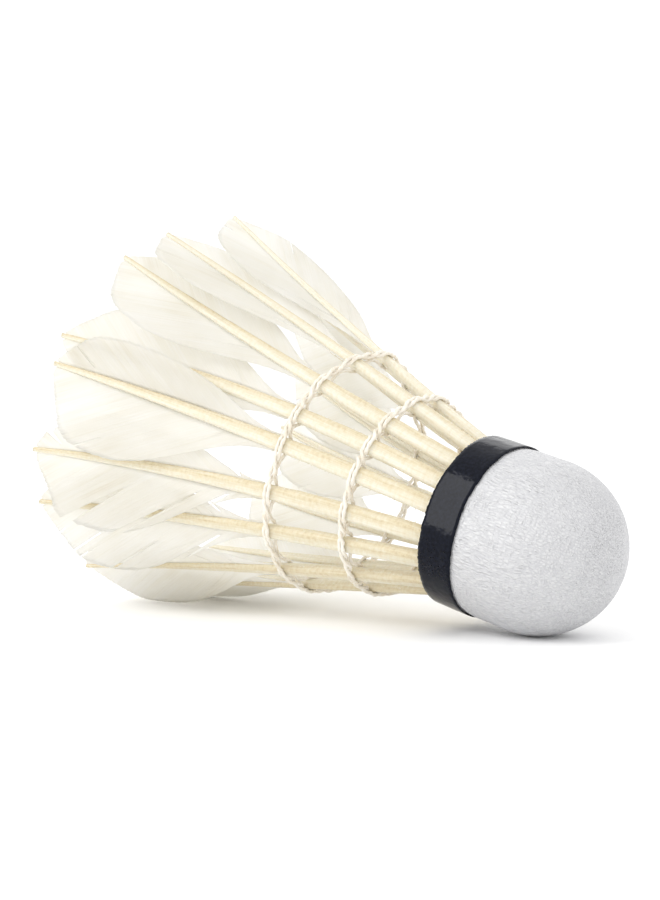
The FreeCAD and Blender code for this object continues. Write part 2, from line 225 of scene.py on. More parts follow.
def new_piece(name, points, faces, material, nodes, uvs=None, smooth=True):
    """A mesh piece from points in the shuttlecock's own axes, riding on the root body."""
    mesh = bpy.data.meshes.new(name)
    mesh.from_pydata([OWN @ Vector(point) for point in points], [], faces)
    mesh.validate()
    if uvs is not None:
        layer = mesh.uv_layers.new(name=UV_NAME)
        loops = np.empty(len(mesh.loops), dtype=int)
        mesh.loops.foreach_get("vertex_index", loops)
        layer.data.foreach_set("uv", np.array(uvs)[loops].astype(np.float32).ravel())
    turned = bmesh.new()
    turned.from_mesh(mesh)
    bmesh.ops.recalc_face_normals(turned, faces=turned.faces)
    turned.to_mesh(mesh)
    turned.free()
    mesh.polygons.foreach_set("use_smooth", [smooth] * len(mesh.polygons))
    mesh.materials.append(material)
    piece = bpy.data.objects.new(name, mesh)
    bpy.context.scene.collection.objects.link(piece)
    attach(piece, "root")
    if nodes:
        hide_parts(*nodes)
    return piece


def grid_faces(rows, columns, wrap_rows=False, wrap_columns=False):
    """The four-sided faces of a grid of points, numbered row by row."""
    faces = []
    for row in range(rows if wrap_rows else rows - 1):
        for column in range(columns if wrap_columns else columns - 1):
            here, below = row * columns, (row + 1) % rows * columns
            right = (column + 1) % columns
            faces.append((here + column, here + right, below + right, below + column))
    return faces


def shifted(faces, first):
    """The faces with their point numbers counted on from first."""
    return [tuple(first + corner for corner in face) for face in faces]


def ring_rows(profile, segments, change):
    """The points of a profile of (radius, z) turned about the axis. change(angle, place, radius, z) gives
    each point's own radius and z."""
    points = []
    for place, (radius, z) in enumerate(profile):
        for step in range(segments):
            angle = 2 * math.pi * step / segments
            own_radius, own_z = change(angle, place, radius, z)
            points.append((own_radius * math.cos(angle), own_radius * math.sin(angle), own_z))
    return points


def smooth_noise(seed, *coordinates):
    """Noise from about -1 to 1 that changes smoothly with up to three coordinates."""
    return noise.noise(Vector((*coordinates, 0.0, 0.0)[:3]) + Vector((seed * 7.3, seed * 3.1, seed * 5.7)))


# --- Materials ------------------------------------------------------------------------------------

class Nodes:
    """A short way to write a material's nodes."""

    def __init__(self, name):
        self.material = bpy.data.materials.new(name)
        self.material.use_nodes = True
        self.tree = self.material.node_tree
        self.shader = self.tree.nodes["Principled BSDF"]
        self.output = self.tree.nodes["Material Output"]

    def add(self, kind, **settings):
        node = self.tree.nodes.new(kind)
        for key, value in settings.items():
            setattr(node, key, value)
        return node

    def link(self, source, target):
        self.tree.links.new(source, target)

    def noise(self, scale, detail, roughness, vector=None):
        node = self.add("ShaderNodeTexNoise")
        node.inputs["Scale"].default_value = scale
        node.inputs["Detail"].default_value = detail
        node.inputs["Roughness"].default_value = roughness
        self.link(vector if vector is not None else self.place(), node.inputs["Vector"])
        return node.outputs["Fac"]

    def place(self):
        """The position in the row frame, in metres."""
        return self.add("ShaderNodeTexCoord").outputs["Object"]

    def stretched(self, vector, *scale):
        node = self.add("ShaderNodeMapping")
        node.inputs["Scale"].default_value = scale
        self.link(vector, node.inputs["Vector"])
        return node.outputs["Vector"]

    def ramp(self, value, *stops):
        node = self.add("ShaderNodeValToRGB")
        elements = node.color_ramp.elements
        while len(elements) < len(stops):
            elements.new(0.5)
        for element, (place, colour) in zip(elements, stops):
            element.position = place
            element.color = (*colour, 1.0)
        self.link(value, node.inputs["Fac"])
        return node.outputs["Color"]

    def range(self, value, low, high, new_low, new_high):
        node = self.add("ShaderNodeMapRange")
        for name, number in zip(("From Min", "From Max", "To Min", "To Max"), (low, high, new_low, new_high)):
            node.inputs[name].default_value = number
        self.link(value, node.inputs["Value"])
        return node.outputs["Result"]

    def math(self, operation, first, second):
        node = self.add("ShaderNodeMath", operation=operation)
        for socket, value in zip(node.inputs, (first, second)):
            if isinstance(value, (int, float)):
                socket.default_value = value
            else:
                self.link(value, socket)
        return node.outputs[0]

    def bump(self, height, distance, strength=1.0, normal=None):
        node = self.add("ShaderNodeBump")
        node.inputs["Distance"].default_value = distance
        node.inputs["Strength"].default_value = strength
        self.link(height, node.inputs["Height"])
        if normal is not None:
            self.link(normal, node.inputs["Normal"])
        return node.outputs["Normal"]


def web_material():
    """Feather web: warm white barbs in fine lines, matt, with light coming through."""
    nodes = Nodes("feather_web")
    barbs = nodes.add("ShaderNodeUVMap", uv_map=UV_NAME).outputs["UV"]
    fine = nodes.noise(1.0, 2.0, 0.5, nodes.stretched(barbs, 2.6, 0.12, 1.0))
    broad = nodes.noise(1.0, 3.0, 0.6, nodes.stretched(barbs, 0.32, 0.07, 1.0))
    cloud = nodes.noise(120.0, 2.0, 0.5)
    streak = nodes.math("ADD", nodes.math("MULTIPLY", fine, 0.5), nodes.math("MULTIPLY", broad, 0.5))
    tone = nodes.math("ADD", nodes.math("MULTIPLY", streak, 0.7), nodes.math("MULTIPLY", cloud, 0.3))
    colour = nodes.ramp(
        tone,
        (0.3, (0.86, 0.828, 0.755)),
        (0.43, (0.925, 0.911, 0.865)),
        (0.6, (0.958, 0.952, 0.932)),
    )
    nodes.link(colour, nodes.shader.inputs["Base Color"])
    nodes.link(nodes.range(fine, 0.3, 0.7, 0.62, 0.42), nodes.shader.inputs["Roughness"])
    normal = nodes.bump(streak, 0.00014, 0.75)
    nodes.link(normal, nodes.shader.inputs["Normal"])
    nodes.shader.inputs["Specular IOR Level"].default_value = 0.35
    nodes.shader.inputs["Sheen Weight"].default_value = 0.15
    glow = nodes.add("ShaderNodeBsdfTranslucent")
    nodes.link(colour, glow.inputs["Color"])
    nodes.link(normal, glow.inputs["Normal"])
    mix = nodes.add("ShaderNodeMixShader")
    mix.inputs["Fac"].default_value = 0.66
    nodes.link(nodes.shader.outputs["BSDF"], mix.inputs[1])
    nodes.link(glow.outputs["BSDF"], mix.inputs[2])
    nodes.link(mix.outputs["Shader"], nodes.output.inputs["Surface"])
    return nodes.material


def shaft_material():
    """Ivory keratin: fine streaks along the shaft, and a darker line down one side that is painted shade."""
    nodes = Nodes("shaft_keratin")
    along = nodes.add("ShaderNodeUVMap", uv_map=UV_NAME).outputs["UV"]
    streaks = nodes.noise(1.0, 4.0, 0.6, nodes.stretched(along, 28.0, 0.2, 1.0))
    scars = nodes.noise(1.0, 3.0, 0.65, nodes.stretched(along, 9.0, 2.0, 1.0))
    # Painted shade: a dark line at a fixed place across the section, near one edge of the outer face, stands
    # in for the shade along that side.
    across = nodes.add("ShaderNodeSeparateXYZ")
    nodes.link(along, across.inputs["Vector"])
    line = nodes.ramp(
        across.outputs["X"],
        (0.4, (1.0, 1.0, 1.0)),
        (0.5, (0.6, 0.6, 0.6)),
        (0.57, (0.1, 0.1, 0.1)),
        (0.7, (0.3, 0.3, 0.3)),
        (0.82, (0.9, 0.9, 0.9)),
    )
    grain = nodes.math("ADD", nodes.math("MULTIPLY", streaks, 0.55), nodes.math("MULTIPLY", scars, 0.45))
    tone = nodes.math("ADD", nodes.math("MULTIPLY", grain, 0.8), nodes.math("MULTIPLY", line, 0.2))
    colour = nodes.ramp(
        tone,
        (0.3, (0.60, 0.485, 0.29)),
        (0.42, (0.725, 0.635, 0.44)),
        (0.53, (0.775, 0.71, 0.545)),
        (0.66, (0.84, 0.80, 0.675)),
    )
    nodes.link(colour, nodes.shader.inputs["Base Color"])
    nodes.link(nodes.range(scars, 0.3, 0.7, 0.55, 0.35), nodes.shader.inputs["Roughness"])
    nodes.link(nodes.bump(grain, 0.00022, 0.8), nodes.shader.inputs["Normal"])
    nodes.shader.inputs["Specular IOR Level"].default_value = 0.35
    nodes.shader.inputs["Subsurface Weight"].default_value = 0.12
    nodes.shader.inputs["Subsurface Radius"].default_value = (1.0, 0.8, 0.5)
    nodes.shader.inputs["Subsurface Scale"].default_value = 0.0006
    return nodes.material


def thread_material():
    """Glazed cotton, off-white, with fine fibres along the ply."""
    nodes = Nodes("cotton_thread")
    along = nodes.add("ShaderNodeUVMap", uv_map=UV_NAME).outputs["UV"]
    fibres = nodes.noise(1.0, 3.0, 0.6, nodes.stretched(along, 5.0, 1.4, 1.0))
    soiling = nodes.noise(260.0, 2.0, 0.5)
    tone = nodes.math("ADD", nodes.math("MULTIPLY", fibres, 0.6), nodes.math("MULTIPLY", soiling, 0.4))
    colour = nodes.ramp(
        tone,
        (0.3, (0.72, 0.62, 0.46)),
        (0.5, (0.88, 0.83, 0.73)),
        (0.68, (0.96, 0.93, 0.87)),
    )
    nodes.link(colour, nodes.shader.inputs["Base Color"])
    nodes.link(nodes.bump(fibres, 0.00005, 0.8), nodes.shader.inputs["Normal"])
    nodes.shader.inputs["Roughness"].default_value = 0.5
    nodes.shader.inputs["Sheen Weight"].default_value = 0.2
    return nodes.material


def leather_material():
    """White leather: pebbles drawn out along the axis, with wrinkles that run round it or along it, and
    painted shade darkening their creases.
    """
    nodes = Nodes("white_leather")
    turned = nodes.add("ShaderNodeMapping")
    turned.inputs["Rotation"].default_value = OWN.to_3x3().normalized().transposed().to_euler()
    nodes.link(nodes.place(), turned.inputs["Vector"])
    # The place is shifted by up to 0.9 mm, so that the wrinkles wander.
    swirl = nodes.add("ShaderNodeTexNoise")
    swirl.inputs["Scale"].default_value = 260.0
    shrunk = nodes.add("ShaderNodeVectorMath", operation="SCALE")
    shrunk.inputs["Scale"].default_value = 0.0009
    warped = nodes.add("ShaderNodeVectorMath", operation="ADD")
    nodes.link(turned.outputs["Vector"], swirl.inputs["Vector"])
    nodes.link(swirl.outputs["Color"], shrunk.inputs[0])
    nodes.link(turned.outputs["Vector"], warped.inputs[0])
    nodes.link(shrunk.outputs["Vector"], warped.inputs[1])
    own = warped.outputs["Vector"]
    round_dome = nodes.noise(1.0, 2.0, 0.5, nodes.stretched(own, 800.0, 800.0, 2600.0))
    down_side = nodes.noise(1.0, 2.0, 0.5, nodes.stretched(own, 2500.0, 2500.0, 520.0))
    where = nodes.range(nodes.noise(110.0, 1.0, 0.5), 0.46, 0.66, 0.0, 1.0)
    kept = nodes.math("MULTIPLY", round_dome, where)
    other = nodes.math("MULTIPLY", down_side, nodes.math("SUBTRACT", 1.0, where))
    wrinkles = nodes.math("ADD", kept, other)
    cells = nodes.add("ShaderNodeTexVoronoi", feature="DISTANCE_TO_EDGE")
    cells.inputs["Scale"].default_value = 1.0
    nodes.link(nodes.stretched(own, 2700.0, 2700.0, 820.0), cells.inputs["Vector"])
    pebbles = nodes.range(cells.outputs["Distance"], 0.0, 0.26, 0.0, 1.0)
    tone = nodes.math("ADD", nodes.math("MULTIPLY", wrinkles, 0.7), nodes.math("MULTIPLY", pebbles, 0.3))
    # Painted shade: the colour is darker where the wrinkles and the pebbles' edges dip, standing in for shade
    # in the creases.
    colour = nodes.ramp(
        tone,
        (0.3, (0.54, 0.54, 0.557)),
        (0.5, (0.598, 0.598, 0.61)),
        (0.7, (0.645, 0.645, 0.65)),
    )
    nodes.link(colour, nodes.shader.inputs["Base Color"])
    nodes.link(nodes.range(tone, 0.3, 0.7, 0.62, 0.42), nodes.shader.inputs["Roughness"])
    folds = nodes.bump(wrinkles, 0.0004, 1.0)
    nodes.link(nodes.bump(pebbles, 0.00005, 1.0, folds), nodes.shader.inputs["Normal"])
    nodes.shader.inputs["Specular IOR Level"].default_value = 0.7
    return nodes.material


def tape_material():
    """Glossy navy-black tape with slight waves, small puckers and a little dust."""
    nodes = Nodes("band_tape")
    waves = nodes.noise(160.0, 3.0, 0.5)
    puckers = nodes.noise(750.0, 2.0, 0.5)
    dust = nodes.noise(2200.0, 2.0, 0.6)
    colour = nodes.ramp(dust, (0.35, (0.002, 0.003, 0.007)), (0.8, (0.009, 0.011, 0.021)))
    nodes.link(colour, nodes.shader.inputs["Base Color"])
    nodes.link(nodes.range(dust, 0.3, 0.7, 0.09, 0.16), nodes.shader.inputs["Roughness"])
    wavy = nodes.bump(waves, 0.0005, 0.3)
    nodes.link(nodes.bump(puckers, 0.00007, 1.0, wavy), nodes.shader.inputs["Normal"])
    nodes.shader.inputs["Specular IOR Level"].default_value = 0.12
    return nodes.material


def cork_material():
    """Pressed cork: granules of several browns with dark pits between them."""
    nodes = Nodes("pressed_cork")
    grains = nodes.add("ShaderNodeTexVoronoi")
    grains.inputs["Scale"].default_value = 900.0
    nodes.link(nodes.place(), grains.inputs["Vector"])
    pits = nodes.noise(1600.0, 4.0, 0.6)
    grain = nodes.add("ShaderNodeSeparateColor")
    nodes.link(grains.outputs["Color"], grain.inputs["Color"])
    tone = nodes.math("ADD", nodes.math("MULTIPLY", grain.outputs[0], 0.6), nodes.math("MULTIPLY", pits, 0.4))
    colour = nodes.ramp(
        tone,
        (0.2, (0.26, 0.15, 0.07)),
        (0.45, (0.52, 0.34, 0.18)),
        (0.75, (0.68, 0.48, 0.28)),
    )
    nodes.link(colour, nodes.shader.inputs["Base Color"])
    nodes.link(nodes.bump(tone, 0.0002, 0.8), nodes.shader.inputs["Normal"])
    nodes.shader.inputs["Roughness"].default_value = 0.85
    return nodes.material


def glue_material():
    """Dried white glue: cream, smooth, with small runs."""
    nodes = Nodes("dried_glue")
    runs = nodes.noise(420.0, 3.0, 0.55)
    colour = nodes.ramp(runs, (0.3, (0.74, 0.66, 0.46)), (0.65, (0.88, 0.84, 0.70)))
    nodes.link(colour, nodes.shader.inputs["Base Color"])
    nodes.link(nodes.range(runs, 0.3, 0.7, 0.45, 0.25), nodes.shader.inputs["Roughness"])
    nodes.link(nodes.bump(runs, 0.0006, 0.8), nodes.shader.inputs["Normal"])
    return nodes.material


# --- Feathers -------------------------------------------------------------------------------------

class Shaft:
    """One shaft's centre line and half sizes, read from its CAD node level by level."""

    def __init__(self, index):
        self.name = f"{index + 1:02d}"
        points, edges = own_mesh(f"quill_{self.name}")
        self.low, self.high = points[:, 2].min(), points[:, 2].max()
        self.levels = np.concatenate([
            [self.low + 0.5, CORK_BACK - 1.0],
            np.linspace(CORK_BACK, self.high - 0.45, SHAFT_LEVELS),
        ])
        rows = []
        for level in self.levels:
            cut = cut_points(points, edges, level)[:, :2]
            middle = (cut.min(0) + cut.max(0)) / 2
            out = middle / np.linalg.norm(middle)
            across = np.array((-out[1], out[0]))
            outs, sides = cut @ out, cut @ across
            middle = out * (outs.min() + outs.max()) / 2 + across * (sides.min() + sides.max()) / 2
            beyond = (level - CORK_BACK - SLIM_FROM) / (self.high - CORK_BACK - SLIM_FROM)
            slim = 1 - TIP_SLIMMING * max(0.0, beyond)
            rows.append((*middle, np.ptp(sides) / 2 * slim, np.ptp(outs) / 2))
        self.rows = np.array(rows)

    def at(self, level):
        """Centre (x, y, z), unit vectors outwards and across, half width and half thickness at a level."""
        x, y, half_width, half_thick = (np.interp(level, self.levels, column) for column in self.rows.T)
        if level > self.levels[-1]:
            slope = (self.rows[-1, :2] - self.rows[-3, :2]) / (self.levels[-1] - self.levels[-3])
            x, y = self.rows[-1, :2] + slope * (level - self.levels[-1])
        centre = np.array((x, y, level))
        out = np.array((x, y, 0.0)) / math.hypot(x, y)
        across = np.array((-out[1], out[0], 0.0))
        return centre, out, across, half_width, half_thick


def make_shaft(shaft, index, material):
    """The shaft with a flat back, a groove inside, slight lumps, and a square-cut tip."""
    half = SHAFT_SECTION[1:-1]
    section = SHAFT_SECTION[:1] + half + SHAFT_SECTION[-1:] + [(-side, out) for side, out in reversed(half)]
    stations = np.linspace(shaft.low + 0.3, shaft.high - 0.1, SHAFT_STATIONS)
    points, uvs = [], []
    for level in stations:
        centre, out, across, half_width, half_thick = shaft.at(level)
        for column, (side, outwards) in enumerate(section):
            lump = 1.0 + SHAFT_LUMPS * smooth_noise(index, level * 0.55, column * 0.9)
            point = centre + across * side * half_width * lump + out * outwards * half_thick * lump
            points.append(point)
            uvs.append(((column / len(section) + 0.5) % 1.0, level))
    columns = len(section)
    faces = grid_faces(len(stations), columns, wrap_columns=True)
    faces.append(tuple(reversed(range(columns))))
    faces.append(tuple(range((len(stations) - 1) * columns, len(stations) * columns)))
    name = f"shaft_{shaft.name}"
    return new_piece(name, points, faces, material, [f"quill_{shaft.name}"], uvs)


def make_stubs(shafts, webs_start, material):
    """Short stubs left along the shafts' sides where the lower barbs were stripped off."""
    points, faces, uvs = [], [], []
    chance = random.Random(5)
    for shaft in shafts:
        for side in (-1, 1):
            level = CORK_BACK + STUBS_START
            while level < webs_start + STUBS_OVERLAP:
                centre, out, across, half_width, _ = shaft.at(level)
                length = chance.choice(STUB_LENGTHS) * chance.uniform(0.8, 1.2)
                width = chance.uniform(0.06, 0.14)
                root = centre + across * side * (half_width - STUB_SINK) + out * chance.uniform(-0.2, 0.35)
                tip = root + across * side * (length + STUB_SINK) + np.array((0, 0, length * 0.9))
                first = len(points)
                lengthways = np.array((0, 0, width))
                points += [root - lengthways, root + out * width, root + lengthways, root - out * width, tip]
                uvs += [(0.0, level)] * 5
                faces += [(first + a, first + (a + 1) % 4, first + 4) for a in range(4)]
                faces.append((first + 3, first + 2, first + 1, first))
                level += chance.uniform(0.35, 1.3)
    return new_piece("shaft_stubs", points, faces, material, [], uvs, smooth=False)


class Web:
    """One web's direction and width, read from its CAD node level by level."""

    def __init__(self, shaft, kind):
        self.shaft = shaft
        self.kind = kind
        self.node = f"{kind}_web_{shaft.name}"
        points, edges = own_mesh(self.node)
        self.low, self.high = points[:, 2].min() + 0.05, points[:, 2].max() - 0.05
        self.levels = np.linspace(self.low, self.high, WEB_LEVELS)
        inner, outer = [], []
        for level in self.levels:
            cut = cut_points(points, edges, level)
            distance = np.linalg.norm(cut - shaft.at(level)[0], axis=1)
            inner.append(cut[distance.argmin()])
            outer.append(cut[distance.argmax()])
        inner, outer = np.array(inner), np.array(outer)
        width = np.linalg.norm(outer - inner, axis=1)
        widest = width.argmax()
        self.direction = (outer[widest] - inner[widest]) / width[widest]
        self.width = width
        self.full = width.max()

    def width_at(self, level):
        return np.interp(level, self.levels, self.width, left=0.0, right=0.0)

    def point(self, level, across):
        """A point of the web's surface: across is the distance from the shaft's side."""
        centre, out, sideways, half_width, _ = self.shaft.at(level)
        side = 1.0 if self.direction @ sideways > 0 else -1.0
        start = centre + sideways * side * (half_width - WEB_TUCK)
        share = across / self.full
        bulge = WEB_CAMBER * 4 * share * (1 - share)
        return start + self.direction * (across + WEB_TUCK) + out * bulge


def barb_length(web, root):
    """How far a barb that starts at a level on the shaft reaches before it meets the web's outline."""
    steps = np.arange(SEARCH_STEP, LONGEST_BARB, SEARCH_STEP)
    inside = web.width_at(root + BARB_SLOPE * steps) > steps
    if inside.all():
        return steps[-1]
    first_out = int(np.argmin(inside))
    if first_out == 0 and inside[1:ROOT_STEPS].any():
        rest = inside[1:]
        first_in = int(np.argmax(rest)) + 1
        first_out = first_in + int(np.argmin(inside[first_in:]))
    return steps[max(first_out - 1, 0)]


def splits_of(web, index, barbs):
    """Where the web has come apart: barb number, share of its length where the gap starts, and its width."""
    tears = list(TEARS.get(f"{web.kind}_{web.shaft.name}", []))
    chance = random.Random(index * 31 + (7 if web.kind == "wide" else 3))
    for _ in range(chance.choice((0, 1, 1, 2))):
        tears.append((chance.uniform(0.15, 0.85), chance.uniform(0.55, 0.85), chance.uniform(0.05, 0.2)))
    return [(int(along * barbs), start, width) for along, start, width in tears]


def tear_slide(splits, row, share):
    """How far the tears push a place on a barb along the shaft."""
    slide = 0.0
    for number, start, size in splits:
        spread = TEAR_ROWS + TEAR_ROWS_PER_WIDTH * size
        distance = row - number - 0.5
        if share > start and abs(distance) < spread:
            slide += math.copysign(size * (share - start) * (1 - abs(distance) / spread), distance)
    return slide


def torn_faces(splits):
    """The faces left out where the web is torn, as barb and column."""
    return {
        (number, column)
        for number, start, _ in splits
        for column in range(BARB_COLUMNS)
        if column / BARB_COLUMNS >= start
    }


def make_web(web, index, material):
    """The web as a thin closed sheet whose rows are its barbs, with splits and an uneven edge."""
    chance = random.Random(index * 17 + (1 if web.kind == "wide" else 2))
    roots = np.arange(web.low - 1.5, web.high - 0.3, BARB_STEP)
    lengths = np.array([barb_length(web, root) for root in roots])
    keep = lengths > SHORTEST_BARB
    roots, lengths = roots[keep], lengths[keep]
    splits = splits_of(web, index, len(roots))
    gaps = torn_faces(splits)
    points, uvs = [], []
    for row, (root, length) in enumerate(zip(roots, lengths)):
        own_length = length * (1 + 0.012 * smooth_noise(index + 40, row * 0.3)) + chance.uniform(-0.07, 0.05)
        ripple = BARB_RIPPLE if row % 2 else -BARB_RIPPLE
        for column in range(BARB_COLUMNS + 1):
            share = column / BARB_COLUMNS
            across = own_length * share
            level = min(root + BARB_SLOPE * across + tear_slide(splits, row, share), web.high)
            sway = WEB_SWAY * smooth_noise(index, row * 0.09, share * 2.0)
            points.append(web.point(level, across) + web.shaft.at(level)[1] * (ripple * share + sway))
            uvs.append((row * BARB_STEP, across))
    faces = [
        face
        for place, face in enumerate(grid_faces(len(roots), BARB_COLUMNS + 1))
        if divmod(place, BARB_COLUMNS) not in gaps
    ]
    piece = new_piece(f"web_{web.kind}_{web.shaft.name}", points, faces, material, [web.node], uvs)
    thickness = piece.modifiers.new("thickness", "SOLIDIFY")
    thickness.thickness = WEB_THICKNESS * MM
    thickness.offset = 0.0
    return piece


def make_hairs(webs, material):
    """Single barbs that have sprung loose at the webs' edges."""
    points, faces, uvs = [], [], []
    chance = random.Random(11)
    for web in webs:
        for _ in range(chance.choice((1, 2, 3))):
            root = chance.uniform(web.low + 0.5, web.low + 0.3 * (web.high - web.low))
            length = min(barb_length(web, root) * chance.uniform(0.7, 1.1), LONGEST_HAIR)
            if length < SHORTEST_HAIR:
                continue
            slope = BARB_SLOPE * chance.uniform(0.6, 1.3)
            lift = chance.uniform(0.15, 0.3)
            first = len(points)
            for step in range(HAIR_STEPS + 1):
                share = step / HAIR_STEPS
                level = min(root + slope * length * share**1.25, web.high - 0.1)
                across = min(length * share, web.full + 0.6)
                out = web.shaft.at(level)[1]
                centre = web.point(level, across) + out * (lift * math.sin(2.2 * share) + 0.08)
                radius = HAIR_RADIUS * (1 - 0.7 * share)
                for corner in range(HAIR_SIDES):
                    turn = 2 * math.pi * corner / HAIR_SIDES
                    offset = out * math.cos(turn) + np.array((0, 0, 1.0)) * math.sin(turn)
                    points.append(centre + offset * radius)
                    uvs.append((root, across))
            rings = grid_faces(HAIR_STEPS + 1, HAIR_SIDES, wrap_columns=True)
            faces += shifted(rings, first)
            faces.append(tuple(first + corner for corner in reversed(range(HAIR_SIDES))))
            faces.append(tuple(first + HAIR_STEPS * HAIR_SIDES + corner for corner in range(HAIR_SIDES)))
    return new_piece("loose_barbs", points, faces, material, [], uvs)


# --- Threads --------------------------------------------------------------------------------------

def strand_route(shafts, row, strand):
    """The middle line of the strands: across each shaft, then on to the next with a slight sag."""
    height = CORK_BACK + ROW_HEIGHTS[row]
    side, sag = (-1, INSIDE_SAG) if strand == "inside_thread" else (1, OUTSIDE_SAG)
    crossings = []
    for shaft in shafts:
        centre, out, across, half_width, half_thick = shaft.at(height)
        lift = out * side * (half_thick + STRAND_RADIUS)
        crossings.append([
            centre + across * sideways * half_width + lift * share
            for sideways, share in OVER_SHAFT
        ])
    route = []
    for index, crossing in enumerate(crossings):
        following = crossings[(index + 1) % FEATHERS]
        route += crossing
        for share in BETWEEN_SHAFTS:
            point = crossing[-1] * (1 - share) + following[0] * share
            away = np.array((point[0], point[1], 0.0)) / math.hypot(point[0], point[1])
            route.append(point - away * sag * math.sin(math.pi * share))
    return np.array(route)


def pair_turns(strand):
    """The pair's twist at each point of the route: flat on the shafts, once round between them."""
    own_turn = 0.5 if strand == "rear_thread" else 0.0
    one_feather = [0.0] * len(OVER_SHAFT) + list(BETWEEN_SHAFTS)
    turns = [index + turn + own_turn for index in range(FEATHERS) for turn in one_feather]
    return np.array(turns + [FEATHERS + own_turn]) * 2 * math.pi


def spline_point(a, b, c, d, share):
    """A point between b and c on the smooth curve through four points (Catmull-Rom)."""
    square = 2 * a - 5 * b + 4 * c - d
    cube = 3 * b - a - 3 * c + d
    return 0.5 * (2 * b + (c - a) * share + square * share**2 + cube * share**3)


def closed_curve(route, turns):
    """Evenly spaced points on a smooth closed curve through the route, the twist at each, and its length."""
    count = len(route)
    dense, twist = [], []
    for place in range(count):
        near = [route[(place + shift) % count] for shift in (-1, 0, 1, 2)]
        for share in np.linspace(0, 1, CURVE_SAMPLES, endpoint=False):
            dense.append(spline_point(*near, share))
            twist.append(turns[place] + (turns[place + 1] - turns[place]) * share)
    dense = np.array(dense + dense[:1])
    twist = np.array(twist + [turns[-1]])
    distance = np.concatenate([[0], np.cumsum(np.linalg.norm(np.diff(dense, axis=0), axis=1))])
    even = np.linspace(0, distance[-1], int(distance[-1] / STRAND_STEP), endpoint=False)
    points = np.stack([np.interp(even, distance, dense[:, axis]) for axis in range(3)], 1)
    return points, np.interp(even, distance, twist), distance[-1]


def sideways_frames(centres):
    """Two directions square to a closed curve at each of its points: along the shuttlecock, and outwards."""
    tangents = np.roll(centres, -1, 0) - np.roll(centres, 1, 0)
    tangents /= np.linalg.norm(tangents, axis=1)[:, None]
    lengthways = np.array((0, 0, 1.0)) - tangents * tangents[:, 2:3]
    lengthways /= np.linalg.norm(lengthways, axis=1)[:, None]
    return lengthways, np.cross(lengthways, tangents)


def make_strand(shafts, row, strand, material):
    """A strand of two twisted plies; the front and rear strands also twist about each other."""
    route = strand_route(shafts, row, strand)
    centres, twist, length = closed_curve(route, pair_turns(strand))
    if strand != "inside_thread":
        lengthways, outwards = sideways_frames(centres)
        pair = lengthways * np.cos(twist)[:, None] + outwards * np.sin(twist)[:, None]
        centres = centres + pair * STRAND_RADIUS * PAIR_SPACING
    lengthways, outwards = sideways_frames(centres)
    count = len(centres)
    points, faces, uvs = [], [], []
    for ply in range(2):
        first = len(points)
        for place in range(count):
            phase = 2 * math.pi * (round(length / PLY_PITCH) * place / count + ply / 2)
            way = lengthways[place] * math.cos(phase) + outwards[place] * math.sin(phase)
            for side in range(PLY_SIDES):
                turn = 2 * math.pi * side / PLY_SIDES
                offset = lengthways[place] * math.cos(turn) + outwards[place] * math.sin(turn)
                points.append(centres[place] + way * PLY_OFFSET + offset * PLY_RADIUS)
                uvs.append((side / PLY_SIDES + ply, place * length / count))
        rings = grid_faces(count, PLY_SIDES, wrap_rows=True, wrap_columns=True)
        faces += shifted(rings, first)
    return new_piece(f"{row}_{strand}_plies", points, faces, material, [f"{row}_{strand}"], uvs)


# --- Head -----------------------------------------------------------------------------------------

def make_leather(material):
    """The leather skin: the dome and straight side, a little uneven, with its edge behind the band."""
    middle = HEAD_RADIUS
    inner = HEAD_RADIUS - LEATHER_THICKNESS
    dome = [math.radians(angle) for angle in np.linspace(0.6, 90, 60)]
    outside = [(HEAD_RADIUS * math.sin(a), middle - HEAD_RADIUS * math.cos(a)) for a in dome]
    outside += [(HEAD_RADIUS, z) for z in np.linspace(middle, CORK_BACK, 24)[1:]]
    inside = [(inner, CORK_BACK), (inner, middle)]
    inside += [(inner * math.sin(a), middle - inner * math.cos(a)) for a in reversed(dome)]

    def uneven(angle, place, radius, z):
        if place >= len(outside):
            return radius, z
        x = math.cos(angle) * radius * DENT_SCALE
        y = math.sin(angle) * radius * DENT_SCALE
        along = z * DENT_SCALE
        dent = DENT_DEPTH * smooth_noise(2, x, y, along)
        across_axis = ROUND_FOLDS * smooth_noise(4, x * 2.5, y * 2.5, along * 7.0)
        along_axis = LENGTH_FOLDS * smooth_noise(5, x * 7.0, y * 7.0, along * 2.0)
        tuck = TUCK_DEPTH * math.exp(-((z - BAND_FRONT) / TUCK_WIDTH) ** 2)
        pull = min(1.0, radius / 3.0)
        return radius - (abs(dent) + abs(across_axis) + abs(along_axis) + tuck) * pull, z

    profile = outside + inside
    points = ring_rows(profile, HEAD_SEGMENTS, uneven)
    faces = grid_faces(len(profile), HEAD_SEGMENTS, wrap_columns=True)
    faces.append(tuple(reversed(range(HEAD_SEGMENTS))))
    last = (len(profile) - 1) * HEAD_SEGMENTS
    faces.append(tuple(range(last, last + HEAD_SEGMENTS)))
    return new_piece("leather_skin", points, faces, material, ["leather_cover"])


